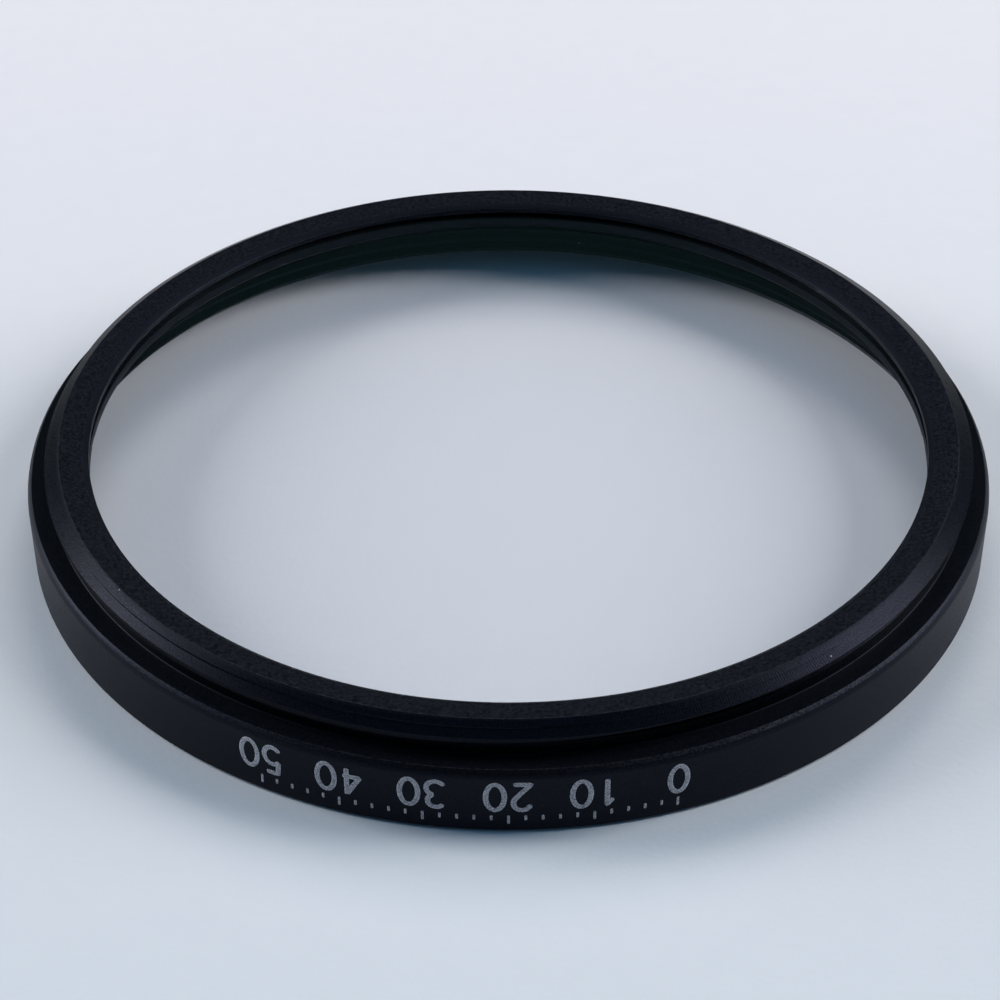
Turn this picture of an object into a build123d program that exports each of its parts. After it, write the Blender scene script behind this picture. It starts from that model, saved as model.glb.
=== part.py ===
from build123d import *
import math
import os

# Screw-in lens filter, in millimetres. The front edge stands on z = 0, and +Z runs along the optical axis
# towards the lens, so the male thread is on top. Fine threads are plain bands at their own radius.

# Lens thread
thread_diameter = 52.0      # nominal size of both threads
thread_pitch = 0.75
thread_allowance = 0.07     # how far the male crests lie under the nominal radius

# Stub that carries the male thread
stub_length = 1.80          # from the flange face to the highest edge
stub_wall = 0.97            # from the glass pocket out to the land under the thread
lead_width = 0.85           # lead-in cone, measured along the radius
lead_drop = 0.60            # lead-in cone, measured along the axis
land_depth = 0.26           # how far the plain land lies under the thread crests
land_length = 0.84          # plain land between the flange and the thread

# Lip on the lens side
lip_width = 1.25            # from the pocket wall in to the clear opening
lip_thickness = 0.30        # at the clear opening
lip_bevel_width = 0.32      # bevel round the clear opening, measured along the radius
lip_bevel_drop = 0.21       # the same bevel, measured along the axis
dish_depth = 0.19           # how far the rear face dips towards that bevel

# Flange
flange_step = 1.00          # how far the flange stands out past the nominal thread radius
flange_bevel_width = 0.25   # broken edge next to the lens, measured along the radius
flange_bevel_drop = 0.43    # the same edge, measured along the axis
foot_bevel = 0.18           # broken edge at the front

# Front socket with the female thread
socket_depth = 3.17
socket_relief_length = 0.45  # run-out groove at the inner end of the thread
socket_relief_depth = 0.10   # groove depth past the nominal thread radius

# Glass disc
glass_thickness = 1.10
glass_bevel = 0.20
glass_clearance = 0.10      # radial gap in the pocket

# Retaining ring
ring_thickness = 0.80
ring_width = 1.15
ring_bevel = 0.30           # bevel round its clear opening, at the front
ring_clearance = 0.05       # radial gap in the pocket
slot_count = 2
slot_width = 1.20
slot_depth = 0.40

# Radii that follow
thread_radius = thread_diameter / 2
crest_radius = thread_radius - thread_allowance
land_radius = crest_radius - land_depth
lead_radius = crest_radius - lead_width
pocket_radius = land_radius - stub_wall
opening_radius = pocket_radius - lip_width
flange_radius = thread_radius + flange_step
thread_triangle = math.sqrt(3) / 2 * thread_pitch  # height of the sharp sixty degree thread form
female_thread_depth = 5 / 8 * thread_triangle
socket_radius = thread_radius - female_thread_depth
relief_radius = thread_radius + socket_relief_depth
glass_radius = pocket_radius - glass_clearance
ring_outer_radius = pocket_radius - ring_clearance
ring_inner_radius = ring_outer_radius - ring_width

# Heights that follow, from the front edge up
ring_bottom = socket_depth
glass_bottom = ring_bottom + ring_thickness
glass_top = glass_bottom + glass_thickness
lip_top = glass_top + lip_thickness
bevel_top = lip_top + lip_bevel_drop
stub_top = bevel_top + dish_depth
flange_height = stub_top - stub_length
thread_bottom = flange_height + land_length
thread_top = stub_top - lead_drop
mouth_height = relief_radius - socket_radius
relief_bottom = socket_depth - socket_relief_length


def turned(outline):
    """Revolves a closed outline of (radius, height) corners."""
    with BuildPart() as piece:
        with BuildSketch(Plane.XZ):
            with BuildLine():
                Polyline(*outline, close=True)
            make_face()
        revolve(axis=Axis.Z)
    return piece.part


def filter_rim():
    """The rim, turned in one piece: outside from the front edge up, then inside from the lip down."""
    outline = [
        (flange_radius - foot_bevel, 0),
        (flange_radius, foot_bevel),
        (flange_radius, flange_height - flange_bevel_drop),
        (flange_radius - flange_bevel_width, flange_height),
        (land_radius, flange_height),
        (land_radius, thread_bottom),
        (crest_radius, thread_bottom),
        (crest_radius, thread_top),
        (lead_radius, stub_top),
        (opening_radius + lip_bevel_width, bevel_top),
        (opening_radius, lip_top),
        (opening_radius, glass_top),
        (pocket_radius, glass_top),
        (pocket_radius, socket_depth),
        (relief_radius, socket_depth),
        (relief_radius, relief_bottom),
        (socket_radius, relief_bottom),
        (socket_radius, mouth_height),
        (relief_radius, 0),
    ]
    return turned(outline)


def filter_glass():
    """The flat glass disc, with both edges ground to a small bevel."""
    outline = [
        (0, glass_bottom),
        (glass_radius - glass_bevel, glass_bottom),
        (glass_radius, glass_bottom + glass_bevel),
        (glass_radius, glass_top - glass_bevel),
        (glass_radius - glass_bevel, glass_top),
        (0, glass_top),
    ]
    return turned(outline)


def retaining_ring():
    """The ring that screws in behind the glass, with spanner slots across its front face."""
    outline = [
        (ring_inner_radius + ring_bevel, ring_bottom),
        (ring_outer_radius, ring_bottom),
        (ring_outer_radius, glass_bottom),
        (ring_inner_radius, glass_bottom),
        (ring_inner_radius, ring_bottom + ring_bevel),
    ]
    ring = turned(outline)
    reach = (ring_inner_radius + ring_outer_radius) / 2
    with BuildPart() as slots:
        with Locations((0, 0, ring_bottom + slot_depth / 2)):
            with PolarLocations(reach, slot_count):
                Box(2 * ring_width, slot_width, slot_depth)
    return ring - slots.part


os.makedirs("parts", exist_ok=True)
for make_piece in (filter_rim, filter_glass, retaining_ring):
    export_step(make_piece(), f"parts/{make_piece.__name__}.step")
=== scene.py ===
import math

import bmesh
import bpy
import numpy as np
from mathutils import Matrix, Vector


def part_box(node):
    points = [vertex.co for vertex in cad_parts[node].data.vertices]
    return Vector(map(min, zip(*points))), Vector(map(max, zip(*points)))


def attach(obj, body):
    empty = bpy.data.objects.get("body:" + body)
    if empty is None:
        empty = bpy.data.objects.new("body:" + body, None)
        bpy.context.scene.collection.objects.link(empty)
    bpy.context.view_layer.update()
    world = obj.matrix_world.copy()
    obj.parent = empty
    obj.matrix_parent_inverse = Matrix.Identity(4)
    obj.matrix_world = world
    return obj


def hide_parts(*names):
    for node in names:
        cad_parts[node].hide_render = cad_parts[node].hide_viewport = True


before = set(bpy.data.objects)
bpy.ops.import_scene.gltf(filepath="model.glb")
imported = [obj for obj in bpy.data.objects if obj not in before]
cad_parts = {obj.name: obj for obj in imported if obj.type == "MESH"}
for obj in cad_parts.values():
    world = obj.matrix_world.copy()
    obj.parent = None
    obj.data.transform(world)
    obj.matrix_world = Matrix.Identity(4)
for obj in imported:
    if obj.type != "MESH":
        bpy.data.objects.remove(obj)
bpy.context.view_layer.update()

# Filter rim
# One ring of aluminium alloy, turned on a lathe: a flange for the fingers, a stub with the male thread,
# a dished lip that holds the glass, and a socket with the female thread at the front. It is blasted and then
# anodised black.
mm = 0.001                                 # a millimetre in metres; the pieces' sizes are in millimetres
rim_low, rim_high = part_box("filter_rim")
mark_height = 0.010                        # how far the white marks stand proud of the flange
flange_radius = rim_high.x / mm - mark_height
stub_top = rim_high.z / mm
thread_pitch = 0.75
thread_flat = 0.094                        # width of a thread crest
flank_slope = math.sqrt(3)                 # rise of a sixty degree thread's flank, radius over height
crest_radius = 25.93
root_radius = 25.48
land_radius = 25.67
lead_radius = 25.08
lead_slope = 1.78                          # lead-in cone, radius over height
opening_radius = 23.45
pocket_radius = 24.70
relief_radius = 26.10                      # run-out groove of the female thread
relief_length = 0.45
socket_radius = 25.594
foot_bevel = 0.18
flange_height = 3.97
flange_bevel_width = 0.25
flange_bevel_drop = 0.43
bevel_crown_width = 0.09                   # the bevel is broken in two, and its upper part leans further in
bevel_crown_drop = 0.17
land_top = 4.81
lip_bevel_top = 5.58
lip_bevel_width = 0.32
lip_top = 5.37
seat_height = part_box("filter_glass")[1].z / mm
socket_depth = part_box("retaining_ring")[0].z / mm
relief_bottom = socket_depth - relief_length
mouth_height = relief_radius - socket_radius
land_fillet = 0.08
edge_break = 0.05
fine_break = 0.03                          # rounding of an edge that looks sharp
face_break = 0.06                          # rounding where the flange's bevel meets its face
bevel_blend = 0.50                         # rounding between the parts of that bevel
columns = 576                              # faces round the axis
turn = np.linspace(0.0, 2 * np.pi, columns + 1)


def rounded_outline(corners):
    """Points (radius, height, wear) along corners (radius, height, rounding, steps, rub).

    The first and last corners are only guides. Each other corner becomes an arc tangent to both its sides:
    the centre lies on the bisector, rounding / sin(half angle) away, and the arc's points turn evenly from
    one tangent point to the other. Wear is rub half way along the arc and nothing at its ends."""
    points = []
    for before, (radius, height, rounding, steps, rub), after in zip(corners, corners[1:-1], corners[2:]):
        corner = np.array([radius, height])
        to_before = np.subtract(before[:2], corner)
        to_before /= np.linalg.norm(to_before)
        to_after = np.subtract(after[:2], corner)
        to_after /= np.linalg.norm(to_after)
        half = np.arccos(np.clip(to_before @ to_after, -1, 1)) / 2
        bisector = (to_before + to_after) / np.linalg.norm(to_before + to_after)
        centre = corner + bisector * rounding / np.sin(half)
        share = np.linspace(-1, 1, steps)[:, None] if steps > 1 else np.zeros((1, 1))
        across = (to_after - to_before) / np.linalg.norm(to_after - to_before)
        swing = share * (np.pi / 2 - half)
        arc = centre + rounding * (np.sin(swing) * across - np.cos(swing) * bisector)
        points.append(np.hstack([arc, rub * (1 - share ** 2)]))
    return np.vstack(points)


def turned_piece(name, radius, height, azimuth, closed=True, **marks):
    """A surface of stations along a section by columns round the axis.

    x and y are the radius times the cosine and the sine of the azimuth. Columns run from seam to seam, and
    merging the doubles closes the seam, the poles and empty thread turns. Each of the marks is a value at
    every point, kept as an attribute of that name."""
    merge_distance = 0.0004 * mm
    thin_edge = 0.0001 * mm
    sharp_angle = math.radians(24)
    radius, height, azimuth = np.broadcast_arrays(radius, height, azimuth)
    stations, around = radius.shape
    place = np.stack([radius * np.cos(azimuth), radius * np.sin(azimuth), height], axis=-1) * mm
    index = np.arange(stations * around).reshape(stations, around)
    nearer = index if closed else index[:-1]
    further = np.roll(index, -1, axis=0) if closed else index[1:]
    quads = np.stack([nearer[:, :-1], nearer[:, 1:], further[:, 1:], further[:, :-1]], axis=-1)
    mesh = bpy.data.meshes.new(name)
    mesh.from_pydata(place.reshape(-1, 3), [], quads.reshape(-1, 4).tolist())
    for key, value in marks.items():
        layer = mesh.attributes.new(key, "FLOAT", "POINT")
        layer.data.foreach_set("value", np.broadcast_to(value, radius.shape).ravel().astype(np.float32))
    shell = bmesh.new()
    shell.from_mesh(mesh)
    bmesh.ops.remove_doubles(shell, verts=shell.verts, dist=merge_distance)
    bmesh.ops.dissolve_degenerate(shell, edges=shell.edges, dist=thin_edge)
    shell.to_mesh(mesh)
    shell.free()
    mesh.shade_smooth()
    mesh.set_sharp_from_angle(angle=sharp_angle)
    made = bpy.data.objects.new(name, mesh)
    bpy.context.collection.objects.link(made)
    even = made.modifiers.new("even_normals", "WEIGHTED_NORMAL")
    even.keep_sharp = True
    return made


def thread_turns(first, last):
    """Unwrapped azimuth of each valley of a thread over every column, one row for each whole turn."""
    return turn + 2 * np.pi * np.arange(first, last + 1)[:, None]


def male_thread():
    """Radius and height of the stub from the land to the lead-in edge, as stations by columns.

    The blank is a land, a crest band and a cone. A valley with sixty degree flanks winds through it,
    climbing one pitch a turn, and fades out where the tool was drawn back. The radius is the least of blank
    and valleys. Stations stand at every corner of that section, in order of height, so the edges are true
    helices."""
    step_half = 0.03                       # half the height over which the land steps out to the crests
    land_station = 4.40                    # one more station on the land
    cone_stations = [5.55, 5.65]           # and two on the cone
    root_flat = thread_pitch - thread_flat - 2 * (crest_radius - root_radius) / flank_slope
    valley_at_front = 5.525                # height of the valley nearest the camera
    end_turn = np.radians(-450.0)
    end_fade = np.radians(40.0)
    wound = thread_turns(-3, 1)
    valley = valley_at_front + thread_pitch * (wound + np.pi / 2) / (2 * np.pi)
    fade = np.clip((wound - end_turn) / end_fade + 0.5, 0, 1)
    root = root_radius + (1 - fade) * (crest_radius - root_radius + edge_break)

    cone_foot = stub_top - (crest_radius - lead_radius) / lead_slope
    low = flange_height + land_fillet
    high = stub_top - 0.5 * edge_break

    def blank(level):
        cone = lead_radius + (stub_top - level) * lead_slope
        band = np.interp(level, [land_top - step_half, land_top + step_half], [land_radius, crest_radius])
        return np.minimum(band, cone)

    def cut(level):
        reach = np.abs(level[:, None] - valley[None]) - root_flat / 2
        return np.minimum(blank(level), (root[None] + np.maximum(reach, 0) * flank_slope).min(axis=1))

    flank = root_flat / 2 + (crest_radius - root) / flank_slope
    to_land = root_flat / 2 + (land_radius - root) / flank_slope
    cone_above = (lead_radius + stub_top * lead_slope - root + (valley + root_flat / 2) * flank_slope)
    cone_above = cone_above / (flank_slope + lead_slope)
    corners = [
        valley - flank,
        valley - to_land,
        valley - (flank + root_flat / 2) / 2,
        valley - root_flat / 2,
        valley,
        valley + root_flat / 2,
        valley + to_land,
        valley + flank,
        cone_above,
    ]
    plain = [low, land_station, land_top - step_half, land_top + step_half, cone_foot, *cone_stations, high]
    level = np.vstack(corners + [np.full((1, columns + 1), height) for height in plain])
    level = np.sort(np.clip(level, low, high), axis=0)
    return cut(level), level


def female_thread():
    """Radius and height of the socket from the run-out groove down to the mouth, as stations by columns.

    The bore is plain, and a sixty degree valley is cut outwards into it, climbing one pitch a turn."""
    major_radius = 26.03
    valley_at_side = 0.62                  # height of a valley at azimuth zero
    root_flat = thread_pitch / 8
    valley = valley_at_side + thread_pitch * thread_turns(-1, 4) / (2 * np.pi)
    flank = root_flat / 2 + (major_radius - socket_radius) / flank_slope
    steps = np.array([-flank, -(flank + root_flat / 2) / 2, -root_flat / 2, root_flat / 2,
                      (flank + root_flat / 2) / 2, flank])
    level = (valley[:, None] + steps[None, :, None]).reshape(-1, columns + 1)
    ends = np.repeat([[mouth_height], [relief_bottom]], columns + 1, axis=1)
    level = np.sort(np.clip(np.vstack([level, ends]), mouth_height, relief_bottom), axis=0)[::-1]
    reach = np.abs(level[:, None] - valley[None]) - root_flat / 2
    valleys = (major_radius - np.maximum(reach, 0) * flank_slope).max(axis=1)
    return np.maximum(socket_radius, valleys), level


outside = rounded_outline([
    (socket_radius, mouth_height),
    (relief_radius, 0.0, fine_break, 3, 0.3),
    (flange_radius - foot_bevel, 0.0, fine_break, 3, 0.3),
    (flange_radius, foot_bevel, fine_break, 3, 0.3),
    (flange_radius, flange_height - flange_bevel_drop, bevel_blend, 6, 0.0),
    (flange_radius - bevel_crown_width, flange_height - bevel_crown_drop, bevel_blend, 6, 0.0),
    (flange_radius - flange_bevel_width, flange_height, face_break, 5, 0.55),
    (land_radius, flange_height, land_fillet, 5, 0.0),
    (land_radius, land_top),
])
inside = rounded_outline([
    (crest_radius, stub_top - (crest_radius - lead_radius) / lead_slope),
    (lead_radius, stub_top, edge_break, 4, 0.9),
    (opening_radius + lip_bevel_width, lip_bevel_top, edge_break, 4, 0.2),
    (opening_radius, lip_top, edge_break, 4, 0.5),
    (opening_radius, seat_height, fine_break, 3, 0.0),
    (pocket_radius, seat_height, 0.0, 1, 0.0),
    (pocket_radius, socket_depth, fine_break, 3, 0.2),
    (relief_radius, socket_depth, 0.0, 1, 0.0),
    (relief_radius, relief_bottom, 0.0, 1, 0.0),
    (socket_radius, relief_bottom, fine_break, 3, 0.2),
    (socket_radius, mouth_height),
])
full_turn = np.ones(columns + 1)
male_radius, male_height = male_thread()
female_radius, female_height = female_thread()
outer_radius, outer_height, outer_wear = outside.T[:, :, None] * full_turn
inner_radius, inner_height, inner_wear = inside.T[:, :, None] * full_turn
rim_radius = np.vstack([outer_radius, male_radius, inner_radius, female_radius])
rim_height = np.vstack([outer_height, male_height, inner_height, female_height])
rim_wear = np.vstack([outer_wear, 0 * male_radius, inner_wear, 0 * female_radius])

slack = 0.01                               # how far past a face's edge a point still counts as on it
hair = 0.001                               # the same at the ends of a rounded edge
rear_face = (rim_height > lip_bevel_top - slack) & (rim_radius < lead_radius + slack)
outer_thread = (rim_height > flange_height + edge_break) & (rim_radius > lead_radius + edge_break)
inner_thread = (rim_height < socket_depth) & (rim_radius < relief_radius + slack)

# Painted highlight: two stretches of the upper flange bevel are made lighter, as scuffed metal, at the
# azimuths where the lamps glint on it.
bevel_highlight_stretches = ((-52.0, 0.85), (-138.0, 0.45))    # azimuth and amount of the flange bevel's two lighter stretches, scuffed metal and painted highlight
bevel_highlight_spread = 22.0                         # degrees over which such a stretch fades
degrees_round = np.degrees(turn) - 360
rubbed_and_highlit = sum(amount * np.exp(-((degrees_round - azimuth) / bevel_highlight_spread) ** 2) for azimuth, amount in bevel_highlight_stretches)
crown_half = bevel_crown_drop / 2
on_crown = np.abs(rim_height - flange_height + crown_half) < crown_half + hair
on_crown &= rim_radius > flange_radius - flange_bevel_width - 2 * slack
rim_wear = np.where(on_crown, np.maximum(rim_wear, rubbed_and_highlit), rim_wear)
rim = turned_piece("rim_turned", rim_radius, rim_height, turn, wear=rim_wear, blasted=rear_face,
                   threaded=outer_thread | inner_thread)


def shader_node(tree, kind, inputs=None, **settings):
    """A node with its settings. An input is linked where a socket is given and set where a value is."""
    made = tree.nodes.new(kind)
    for key, value in settings.items():
        setattr(made, key, value)
    for key, value in (inputs or {}).items():
        if isinstance(value, bpy.types.NodeSocket):
            tree.links.new(value, made.inputs[key])
        else:
            made.inputs[key].default_value = value
    return made


def colour_mix(tree, share, first, second):
    """The colour between two colours or colour sockets, by a share socket."""
    ends = [end if isinstance(end, bpy.types.NodeSocket) else (*end, 1) for end in (first, second)]
    made = shader_node(tree, "ShaderNodeMix", {0: share, 6: ends[0], 7: ends[1]}, data_type="RGBA")
    return made.outputs[2]


def sums(tree, operation, first, second):
    """One arithmetic operation on two sockets or numbers."""
    return shader_node(tree, "ShaderNodeMath", {0: first, 1: second}, operation=operation).outputs[0]


def effect_group(name, inputs, outputs):
    """An empty node group with float inputs (name: default) and float outputs, and its end sockets."""
    tree = bpy.data.node_groups.new(name, "ShaderNodeTree")
    for key, value in inputs.items():
        tree.interface.new_socket(key, in_out="INPUT", socket_type="NodeSocketFloat").default_value = value
    for key in outputs:
        tree.interface.new_socket(key, in_out="OUTPUT", socket_type="NodeSocketFloat")
    return tree, tree.nodes.new("NodeGroupInput").outputs, tree.nodes.new("NodeGroupOutput").inputs


def blasted_grain():
    """Group: fine pits from blasting, fainter tool marks round the axis, and chatter across a thread.

    Chatter is a sine of the azimuth, strongest on one side of the ring, where the tool sprang."""
    dials = {"Pit Scale": 9000.0, "Tool Marks": 0.4, "Chatter": 0.0}
    tree, given, put = effect_group("blasted_grain", dials, ["Height", "Tone"])
    place = shader_node(tree, "ShaderNodeTexCoord").outputs["Object"]
    pits = shader_node(tree, "ShaderNodeTexNoise",
                       {"Vector": place, "Scale": given["Pit Scale"], "Detail": 3.0, "Roughness": 0.65})
    tone = shader_node(tree, "ShaderNodeMapRange",
                       {"Value": pits.outputs["Fac"], "From Min": 0.34, "From Max": 0.66}).outputs[0]
    axes = shader_node(tree, "ShaderNodeSeparateXYZ", {0: place}).outputs
    across = shader_node(tree, "ShaderNodeCombineXYZ", {0: axes["X"], 1: axes["Y"]})
    radius = shader_node(tree, "ShaderNodeVectorMath", {0: across.outputs[0]}, operation="LENGTH")
    azimuth = sums(tree, "ARCTAN2", axes["Y"], axes["X"])
    drawn_out = sums(tree, "MULTIPLY", azimuth, 0.0006)
    lathe = shader_node(tree, "ShaderNodeCombineXYZ",
                        {0: radius.outputs["Value"], 1: drawn_out, 2: axes["Z"]})
    lines = shader_node(tree, "ShaderNodeTexNoise",
                        {"Vector": lathe.outputs[0], "Scale": 16000.0, "Detail": 2.0})
    waves_round = sums(tree, "MULTIPLY", azimuth, 1100.0)
    wave = shader_node(tree, "ShaderNodeMath", {0: waves_round}, operation="SINE")
    off_side = sums(tree, "ADD", azimuth, 0.87)
    facing = shader_node(tree, "ShaderNodeMath", {0: off_side}, operation="COSINE")
    sprung = shader_node(tree, "ShaderNodeMapRange",
                         {"Value": facing.outputs[0], "From Min": 0.45, "From Max": 0.95}).outputs[0]
    chatter = sums(tree, "MULTIPLY", sums(tree, "MULTIPLY", wave.outputs[0], sprung), given["Chatter"])
    marks = sums(tree, "MULTIPLY", lines.outputs["Fac"], given["Tool Marks"])
    height = sums(tree, "ADD", pits.outputs["Fac"], marks)
    tree.links.new(sums(tree, "ADD", height, sums(tree, "MULTIPLY", chatter, 0.10)), put["Height"])
    tree.links.new(sums(tree, "ADD", tone, sums(tree, "MULTIPLY", chatter, 0.25)), put["Tone"])
    return tree


def dust_specks():
    """Group: a mask of sparse specks, the cores of a few cells out of many."""
    tree, given, put = effect_group("dust_specks", {"Cell Scale": 1300.0, "Rarity": 0.975}, ["Mask"])
    place = shader_node(tree, "ShaderNodeTexCoord").outputs["Object"]
    cells = shader_node(tree, "ShaderNodeTexVoronoi", {"Vector": place, "Scale": given["Cell Scale"]})
    core = shader_node(tree, "ShaderNodeMapRange", {"Value": cells.outputs["Distance"], "From Min": 0.045,
                                                    "From Max": 0.075, "To Min": 1.0, "To Max": 0.0})
    pick = shader_node(tree, "ShaderNodeSeparateColor", {0: cells.outputs["Color"]})
    few = sums(tree, "GREATER_THAN", pick.outputs[0], given["Rarity"])
    tree.links.new(sums(tree, "MULTIPLY", core.outputs[0], few), put["Mask"])
    return tree


def black_anodise(name, dye, grain, specks):
    """Dyed oxide on aluminium: near black, a little blue, dull, greyer on scuffed edges and blasted faces.
    The light grey of scuffed metal also paints highlights on the rim's flange bevel, and a darker dye paints
    shade on the threads.
    """
    blasted_dye = 1.8 * dye
    # light grey of scuffed metal; on the rim's flange bevel it is also a painted highlight
    bare_metal_and_highlight = (0.060, 0.060, 0.068)
    dust_colour = (0.55, 0.56, 0.60)
    made = bpy.data.materials.new(name)
    made.use_nodes = True
    tree = made.node_tree
    skin = tree.nodes["Principled BSDF"]
    skin.inputs["Specular IOR Level"].default_value = 0.12
    skin.inputs["Specular Tint"].default_value = (0.52, 0.62, 1.0, 1.0)
    threads = shader_node(tree, "ShaderNodeAttribute", {}, attribute_name="threaded").outputs["Fac"]
    blasting = shader_node(tree, "ShaderNodeAttribute", {}, attribute_name="blasted").outputs["Fac"]
    wear = shader_node(tree, "ShaderNodeAttribute", {}, attribute_name="wear").outputs["Fac"]
    texture = shader_node(tree, "ShaderNodeGroup", {}, node_tree=grain)
    tree.links.new(threads, texture.inputs["Chatter"])
    pit_scale = shader_node(tree, "ShaderNodeMapRange",
                            {"Value": blasting, "To Min": 9000.0, "To Max": 5500.0})
    tree.links.new(pit_scale.outputs[0], texture.inputs["Pit Scale"])
    tone = texture.outputs["Tone"]
    dust = shader_node(tree, "ShaderNodeGroup", {}, node_tree=specks).outputs["Mask"]
    plain_shade = colour_mix(tree, tone, 0.35 * dye, 1.75 * dye)
    # Painted shade: the threads and the socket take a darker dye, standing in for the shade deep in their
    # grooves.
    shade = colour_mix(tree, threads, plain_shade, colour_mix(tree, tone, 0.15 * dye, 0.65 * dye))
    rough_shade = colour_mix(tree, tone, 0.15 * blasted_dye, 1.90 * blasted_dye)
    dyed = colour_mix(tree, blasting, shade, rough_shade)
    worn_and_highlit = colour_mix(tree, sums(tree, "MULTIPLY", wear, tone), dyed, bare_metal_and_highlight)
    tree.links.new(colour_mix(tree, dust, worn_and_highlit, dust_colour), skin.inputs["Base Color"])
    grainy = shader_node(tree, "ShaderNodeMapRange", {"Value": tone, "To Min": 0.36, "To Max": 0.48})
    dull = sums(tree, "ADD", grainy.outputs[0], sums(tree, "MULTIPLY", blasting, 0.28))
    dull = sums(tree, "SUBTRACT", dull, sums(tree, "MULTIPLY", threads, 0.10))
    tree.links.new(dull, skin.inputs["Roughness"])
    bump = shader_node(tree, "ShaderNodeBump", {"Height": texture.outputs["Height"], "Strength": 0.5,
                                                "Distance": 0.02 * mm})
    tree.links.new(bump.outputs[0], skin.inputs["Normal"])
    return made


grain_group = blasted_grain()
speck_group = dust_specks()
rim_dye = np.array([0.0034, 0.0040, 0.0054])
rim.data.materials.append(black_anodise("rim_black_anodise", rim_dye, grain_group, speck_group))
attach(rim, "root")
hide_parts("filter_rim")

# Scale marks
# Plain numbers and index lines round the near side of the flange, filled in white after anodising. They read
# with the front of the filter up, so their feet point to the lens side.
scale_zero = math.radians(-72.0)
scale_step = math.radians(-9.0)
scale_numbers = ("0", "10", "20", "30", "40", "50")
lines_per_step = 5
digit_width = 0.92
digit_height = 1.70
digit_gap = 0.40
digit_foot = 3.20                          # height of the digits' feet on the flange
line_foot = 1.16
long_line = 0.60
short_line = 0.36
stroke_half = 0.15
line_half = 0.075
mark_sink = 0.020                          # how far the fill reaches into the flange


def bow(across, up, half_across, half_up, start, stop):
    """Points of an ellipse's arc between two angles in degrees, in shares of a digit's width and height."""
    angle = np.radians(np.linspace(start, stop, 25))
    return np.stack([across + half_across * np.cos(angle), up + half_up * np.sin(angle)], axis=1)


digit_strokes = {
    "0": bow(0.5, 0.5, 0.5, 0.5, 75, 465),
    "1": np.array([(0.22, 0.78), (0.56, 1.0), (0.56, 0.0)]),
    "2": np.vstack([bow(0.5, 0.72, 0.46, 0.28, 170, -35), [(0.04, 0.0), (1.0, 0.0)]]),
    "3": np.vstack([bow(0.48, 0.76, 0.44, 0.24, 155, -80), bow(0.48, 0.27, 0.50, 0.27, 80, -155)]),
    "4": np.array([(0.74, 0.0), (0.74, 1.0), (0.02, 0.32), (1.0, 0.32)]),
    "5": np.vstack([[(0.92, 1.0), (0.20, 1.0), (0.12, 0.56)], bow(0.48, 0.33, 0.50, 0.33, 130, -150)]),
}


def mark_bead(path, half_width, azimuth, foot, steps):
    """Grid of points of a flat bead along a path of (across, up) in millimetres, upside down on the flange.

    The path is taken at even steps of its length. Across it the section is a flat ellipse, which narrows to
    a point at both ends as a half circle does. The azimuth falls with the way across, and the height with
    the way up. The last value of each point tells how near it is to the bead's border."""
    top = 0.95 * mark_height               # a little under what the frame leaves for the marks
    length = np.append(0, np.cumsum(np.linalg.norm(np.diff(path, axis=0), axis=1)))
    along = np.linspace(0, length[-1], steps)
    line = np.stack([np.interp(along, length, path[:, axis]) for axis in (0, 1)], axis=1)
    ahead = np.gradient(line, axis=0)
    ahead /= np.linalg.norm(ahead, axis=1, keepdims=True)
    to_end = np.clip(np.minimum(along, along[-1] - along) / half_width, 0, 1)
    narrow = np.sqrt(1 - (1 - to_end) ** 2)[:, None]
    round_section = np.linspace(0, 2 * np.pi, 10, endpoint=False)
    spread = half_width * narrow * np.cos(round_section)
    lift = (top - mark_sink) / 2 + (top + mark_sink) / 2 * narrow * np.sin(round_section)
    across = line[:, :1] - ahead[:, 1:] * spread
    up = line[:, 1:] + ahead[:, :1] * spread
    bearing = azimuth - across / flange_radius
    radius = flange_radius + lift
    border = np.broadcast_to(np.abs(np.cos(round_section)), spread.shape)
    return np.stack([radius * np.cos(bearing), radius * np.sin(bearing), foot - up, border], axis=-1)


def scale_beads():
    """The beads of every digit and every index line of the scale."""
    beads = []
    for place, number in enumerate(scale_numbers):
        pitch = digit_width + digit_gap
        start = -(len(number) * pitch - digit_gap) / 2
        for seat, digit in enumerate(number):
            path = digit_strokes[digit] * [digit_width, digit_height] + [start + seat * pitch, 0]
            beads.append(mark_bead(path, stroke_half, scale_zero + place * scale_step, digit_foot, 64))
    for line in range((len(scale_numbers) - 1) * lines_per_step + 1):
        reach = long_line if line % lines_per_step == 0 else short_line
        path = np.array([(0.0, 0.0), (0.0, reach)])
        bearing = scale_zero + line * scale_step / lines_per_step
        beads.append(mark_bead(path, line_half, bearing, line_foot, 16))
    return beads


def bead_mesh(name, beads):
    """One mesh of all the beads: each grid closes round its section, and its pointed ends merge."""
    merge_distance = 0.0002 * mm
    faces = []
    count = 0
    for bead in beads:
        index = count + np.arange(bead.shape[0] * bead.shape[1]).reshape(bead.shape[:2])
        beside = np.roll(index, -1, axis=1)
        faces.append(np.stack([index[:-1], beside[:-1], beside[1:], index[1:]], axis=-1).reshape(-1, 4))
        count += index.size
    points = np.concatenate([bead.reshape(-1, 4) for bead in beads])
    mesh = bpy.data.meshes.new(name)
    mesh.from_pydata(points[:, :3] * mm, [], np.concatenate(faces).tolist())
    layer = mesh.attributes.new("border", "FLOAT", "POINT")
    layer.data.foreach_set("value", points[:, 3].astype(np.float32))
    shell = bmesh.new()
    shell.from_mesh(mesh)
    bmesh.ops.remove_doubles(shell, verts=shell.verts, dist=merge_distance)
    bmesh.ops.recalc_face_normals(shell, faces=shell.faces)
    shell.to_mesh(mesh)
    shell.free()
    mesh.shade_smooth()
    made = bpy.data.objects.new(name, mesh)
    bpy.context.collection.objects.link(made)
    return made


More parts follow.
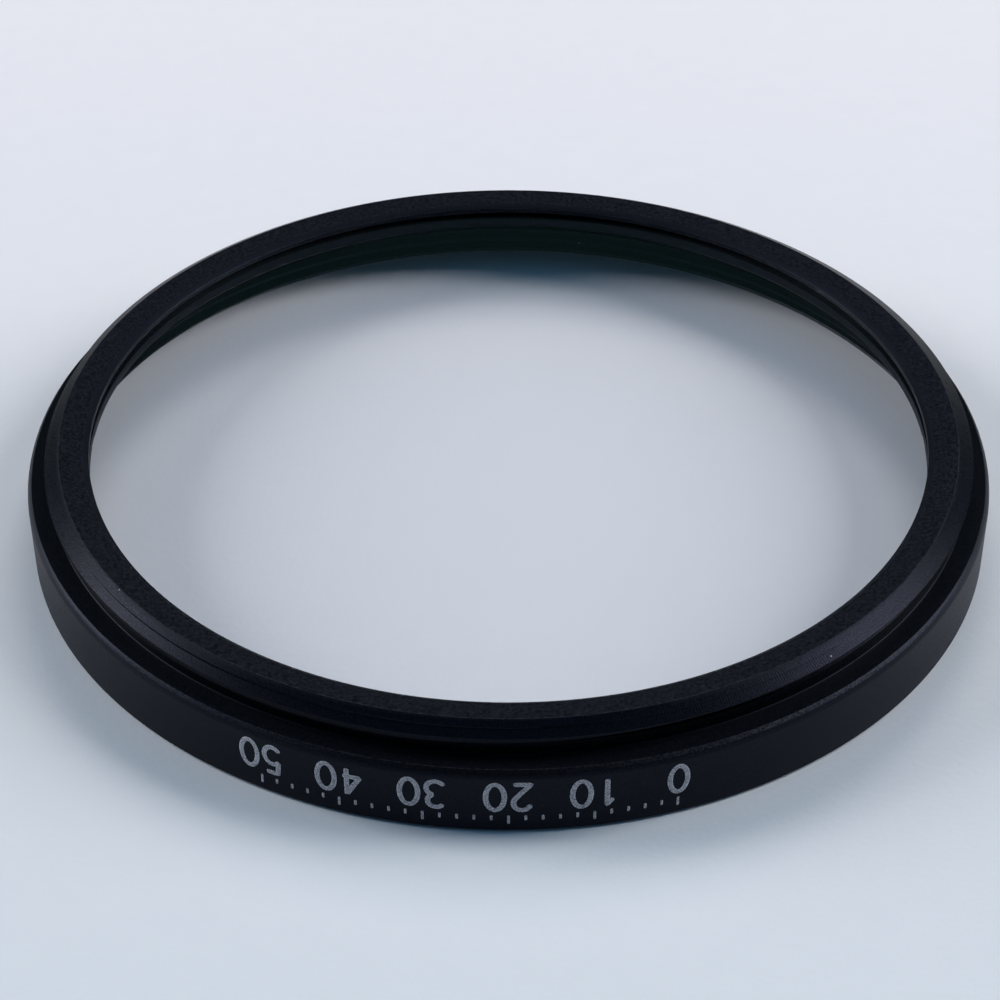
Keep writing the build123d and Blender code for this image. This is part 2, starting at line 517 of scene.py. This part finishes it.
def white_fill():
    """White fill, thinner and greyer along the middle of a stroke, with dark pin holes."""
    made = bpy.data.materials.new("mark_white_fill")
    made.use_nodes = True
    tree = made.node_tree
    fill = tree.nodes["Principled BSDF"]
    fill.inputs["Specular IOR Level"].default_value = 0.2
    border = shader_node(tree, "ShaderNodeAttribute", {}, attribute_name="border").outputs["Fac"]
    place = shader_node(tree, "ShaderNodeTexCoord").outputs["Object"]
    mottle = shader_node(tree, "ShaderNodeTexNoise", {"Vector": place, "Scale": 14000.0, "Detail": 2.0})
    patchy = shader_node(tree, "ShaderNodeMapRange",
                         {"Value": mottle.outputs["Fac"], "From Min": 0.36, "From Max": 0.60}).outputs[0]
    full = colour_mix(tree, border, (0.40, 0.40, 0.43), (0.66, 0.66, 0.70))
    tree.links.new(colour_mix(tree, patchy, (0.16, 0.16, 0.18), full), fill.inputs["Base Color"])
    dull = shader_node(tree, "ShaderNodeMapRange", {"Value": patchy, "To Min": 0.75, "To Max": 0.55})
    tree.links.new(dull.outputs[0], fill.inputs["Roughness"])
    return made


marks = bead_mesh("scale_marks", scale_beads())
marks.data.materials.append(white_fill())
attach(marks, "root")

# Filter glass
# A flat disc of clear optical glass, ground, polished and coated on both faces, its edges broken by a small
# bevel. It drops into the rim from the front and rests on the lip.
glass_low, glass_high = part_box("filter_glass")
glass_radius = glass_high.x / mm
glass_bevel = 0.20
glass_bottom = glass_low.z / mm
glass_top = glass_high.z / mm
disc = rounded_outline([
    (0.0, glass_bottom),
    (glass_radius - glass_bevel, glass_bottom, fine_break, 3, 0.0),
    (glass_radius, glass_bottom + glass_bevel, fine_break, 3, 0.0),
    (glass_radius, glass_top - glass_bevel, fine_break, 3, 0.0),
    (glass_radius - glass_bevel, glass_top, fine_break, 3, 0.0),
    (0.0, glass_top),
])[:, :2]
disc = np.vstack([[0.0, glass_bottom], disc, [0.0, glass_top]])
glass = turned_piece("glass_disc", disc[:, :1] * full_turn, disc[:, 1:] * full_turn, turn, closed=False)


def clear_glass():
    """Coated optical glass with a teal reflex. What lights the floor below goes straight through, dimmed."""
    made = bpy.data.materials.new("filter_glass_clear")
    made.use_nodes = True
    tree = made.node_tree
    body = tree.nodes["Principled BSDF"]
    body.inputs["Base Color"].default_value = (0.955, 0.975, 0.990, 1)
    body.inputs["Specular Tint"].default_value = (0.25, 0.60, 0.50, 1)
    body.inputs["Roughness"].default_value = 0.0
    body.inputs["IOR"].default_value = 1.52
    body.inputs["Transmission Weight"].default_value = 1.0
    passing = shader_node(tree, "ShaderNodeBsdfTransparent", {"Color": (0.985, 0.990, 0.990, 1)})
    path = shader_node(tree, "ShaderNodeLightPath").outputs
    lighting = sums(tree, "MAXIMUM", path["Is Shadow Ray"], path["Is Diffuse Ray"])
    mix = shader_node(tree, "ShaderNodeMixShader", {0: lighting, 1: body.outputs[0], 2: passing.outputs[0]})
    tree.links.new(mix.outputs[0], tree.nodes["Material Output"].inputs["Surface"])
    return made


glass.data.materials.append(clear_glass())
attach(glass, "root")
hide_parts("filter_glass")

# Retaining ring
# A thin turned ring that goes in from the front, under the glass, and presses it against the lip. Two slots
# across its front face take a spanner. Anodised like the rim.
ring_low, ring_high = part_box("retaining_ring")
ring_outer = ring_high.x / mm
ring_bottom = ring_low.z / mm
ring_top = ring_high.z / mm
ring_width = 1.15
ring_inner = ring_outer - ring_width
ring_bevel = 0.30
slot_half_width = 0.60
slot_depth = 0.40
slot_floor = ring_bottom + slot_depth
band = rounded_outline([
    (ring_inner, ring_bottom + ring_bevel),
    (ring_inner + ring_bevel, ring_bottom, fine_break, 3, 0.4),
    (ring_outer, ring_bottom, fine_break, 3, 0.4),
    (ring_outer, ring_top, fine_break, 3, 0.0),
    (ring_inner, ring_top, fine_break, 3, 0.2),
    (ring_inner, ring_bottom + ring_bevel, fine_break, 3, 0.4),
    (ring_inner + ring_bevel, ring_bottom),
])


def slotted_turn():
    """Azimuth of the ring's columns, with a doubled pair at each side of a slot, and which are in a slot.

    Of a pair, one column stays on the ring's face and the other goes in to the slot's floor, so the slot's
    side stands straight between them. Plain columns that would fall in a slot are left out."""
    half = math.asin(slot_half_width / ((ring_inner + ring_outer) / 2))
    slot_sides = np.array([[slot + side * half for side in (-1, -1, 1, 1)] for slot in (0, np.pi)]).ravel()
    cut = np.tile([False, True, True, False], 2)
    off_slot = np.abs((turn[:-1] + np.pi / 2) % np.pi - np.pi / 2)
    plain = turn[:-1][off_slot > 1.05 * half]
    every = np.concatenate([plain, slot_sides])
    inside_slot = np.concatenate([np.zeros(plain.size, bool), cut])
    rank = np.concatenate([np.zeros(plain.size), np.tile([0, 1, 2, 3], 2)])
    order = np.lexsort([rank, every])
    every = every[order]
    inside_slot = inside_slot[order]
    return np.append(every, every[0] + 2 * np.pi), np.append(inside_slot, inside_slot[0])


ring_turn, in_slot = slotted_turn()
ring_radius = band[:, :1] * np.ones(ring_turn.size)
ring_height = np.where(in_slot, np.maximum(band[:, 1:2], slot_floor), band[:, 1:2])
ring = turned_piece("retaining_ring_turned", ring_radius, ring_height, ring_turn,
                    wear=band[:, 2:] * np.ones(ring_turn.size))
ring_dye = np.array([0.0026, 0.0030, 0.0042])
ring.data.materials.append(black_anodise("ring_black_anodise", ring_dye, grain_group, speck_group))
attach(ring, "root")
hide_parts("retaining_ring")

# Paper floor
# A sheet of pale paper under the filter, wide enough to fill every view. Its colour is painted darker and
# bluer towards the front, as painted shade.
# It lies a hair under the filter's foot, so that no two faces coincide.
floor_half = 1.5                           # metres
floor_drop = 0.004 * mm
floor_mesh = bpy.data.meshes.new("paper_floor")
floor_signs = ((-1, -1), (1, -1), (1, 1), (-1, 1))
floor_corners = [(floor_half * x, floor_half * y, -floor_drop) for x, y in floor_signs]
floor_mesh.from_pydata(floor_corners, [], [(0, 1, 2, 3)])
floor = bpy.data.objects.new("paper_floor", floor_mesh)
bpy.context.collection.objects.link(floor)


def pale_paper():
    """Matt paper with a soft mottle and a fine tooth, and painted shade that makes it darker and bluer
    towards the front.
    """
    # Painted shade: the front colour is darker and bluer than the back, for the light that falls off towards
    # the front.
    shaded_front_colour = (0.738, 0.794, 0.835)
    lit_back_colour = (0.800, 0.811, 0.842)
    made = bpy.data.materials.new("pale_paper")
    made.use_nodes = True
    tree = made.node_tree
    sheet = tree.nodes["Principled BSDF"]
    sheet.inputs["Roughness"].default_value = 0.95
    sheet.inputs["Specular IOR Level"].default_value = 0.1
    place = shader_node(tree, "ShaderNodeTexCoord").outputs["Object"]
    mottle = shader_node(tree, "ShaderNodeTexNoise", {"Vector": place, "Scale": 500.0, "Detail": 4.0})
    back = shader_node(tree, "ShaderNodeSeparateXYZ", {0: place}).outputs["Y"]
    falloff_share = shader_node(tree, "ShaderNodeMapRange", {"Value": back, "From Min": -0.035, "From Max": 0.060})
    painted_falloff = colour_mix(tree, falloff_share.outputs[0], shaded_front_colour, lit_back_colour)
    paler = colour_mix(tree, mottle.outputs["Fac"], (0.965, 0.965, 0.970), (1.0, 1.0, 1.0))
    product = shader_node(tree, "ShaderNodeMix", {0: 1.0, 6: painted_falloff, 7: paler},
                          data_type="RGBA", blend_type="MULTIPLY")
    tree.links.new(product.outputs[2], sheet.inputs["Base Color"])
    tooth = shader_node(tree, "ShaderNodeTexNoise", {"Vector": place, "Scale": 2500.0, "Detail": 3.0})
    bump = shader_node(tree, "ShaderNodeBump", {"Height": tooth.outputs["Fac"], "Strength": 0.25,
                                                "Distance": 0.05 * mm})
    tree.links.new(bump.outputs[0], sheet.inputs["Normal"])
    return made


floor_mesh.materials.append(pale_paper())

# Studio light
# A soft lamp on each side and a weaker, warmer one high at the back, whose mirror image is kept off the
# glass. A blue ceiling and blue walls on both sides fill the shadows, and a dim wall stands behind.
lamp_distance = 0.48                       # metres
side_lamp_colour = (0.985, 0.938, 0.920)
back_lamp_colour = (1.0, 0.877, 0.794)
lamps = (
    # name, azimuth, elevation, size, power, colour, and whether polished surfaces mirror it
    ("left_lamp", 166, 28, (0.17, 0.28), 1.55, side_lamp_colour, True),
    ("right_lamp", 10, 34, (0.16, 0.34), 1.66, side_lamp_colour, True),
    ("back_lamp", 84, 47, (0.20, 0.18), 0.64, back_lamp_colour, False),
)


def soft_lamp(name, azimuth, elevation, size, power, colour, mirrored):
    """A flat lamp in a direction given in degrees, aimed at the filter."""
    bearing = math.radians(azimuth)
    rise = math.radians(elevation)
    heading = Vector((math.cos(rise) * math.cos(bearing), math.cos(rise) * math.sin(bearing), math.sin(rise)))
    lamp = bpy.data.lights.new(name, "AREA")
    lamp.shape = "RECTANGLE"
    lamp.size, lamp.size_y = size
    lamp.energy = power
    lamp.color = colour
    made = bpy.data.objects.new(name, lamp)
    made.location = lamp_distance * heading
    made.rotation_euler = made.location.to_track_quat("Z", "Y").to_euler()
    made.visible_glossy = mirrored
    made.visible_transmission = mirrored
    bpy.context.collection.objects.link(made)


for lamp_row in lamps:
    soft_lamp(*lamp_row)

dim_room = (0.004, 0.005, 0.007)
back_wall = (0.045, 0.080, 0.080)
ceiling = (0.08, 0.25, 0.44)
side_walls = (0.46, 0.82, 1.28)
world = bpy.data.worlds.new("dim_studio")
bpy.context.scene.world = world
world.use_nodes = True
sky = world.node_tree
sky_place = shader_node(sky, "ShaderNodeTexCoord").outputs["Generated"]
sky_axes = shader_node(sky, "ShaderNodeSeparateXYZ", {0: sky_place}).outputs
to_sides = sums(sky, "POWER", sky_axes["X"], 6.0)
to_back = sums(sky, "POWER", sums(sky, "MAXIMUM", sky_axes["Y"], 0.0), 4.0)
to_top = sums(sky, "POWER", sums(sky, "MAXIMUM", sky_axes["Z"], 0.0), 6.0)
sky_colour = colour_mix(sky, to_back, dim_room, back_wall)
sky_colour = colour_mix(sky, to_top, sky_colour, ceiling)
sky_colour = colour_mix(sky, to_sides, sky_colour, side_walls)
sky.links.new(sky_colour, sky.nodes["Background"].inputs["Color"])

# Camera
# A long lens, looking down at the filter from the front. The part's origin stands a little off the picture's
# middle, by shares of the picture's width.
camera_distance = 144.5 * mm
camera_elevation = math.radians(37.331)
camera_lens = 90.26
origin_across = 0.00853
origin_up = 0.00126
camera_data = bpy.data.cameras.new("camera")
camera_data.lens = camera_lens
camera_data.sensor_width = 36.0
camera_data.shift_x = -origin_across
camera_data.shift_y = -origin_up
camera_data.clip_start = 0.005
camera = bpy.data.objects.new("camera", camera_data)
to_camera = Vector((0.0, -math.cos(camera_elevation), math.sin(camera_elevation)))
camera.location = to_camera * camera_distance
camera.rotation_euler = to_camera.to_track_quat("Z", "Y").to_euler()
bpy.context.collection.objects.link(camera)
bpy.context.scene.camera = camera
bpy.context.scene.view_settings.view_transform = "Standard"
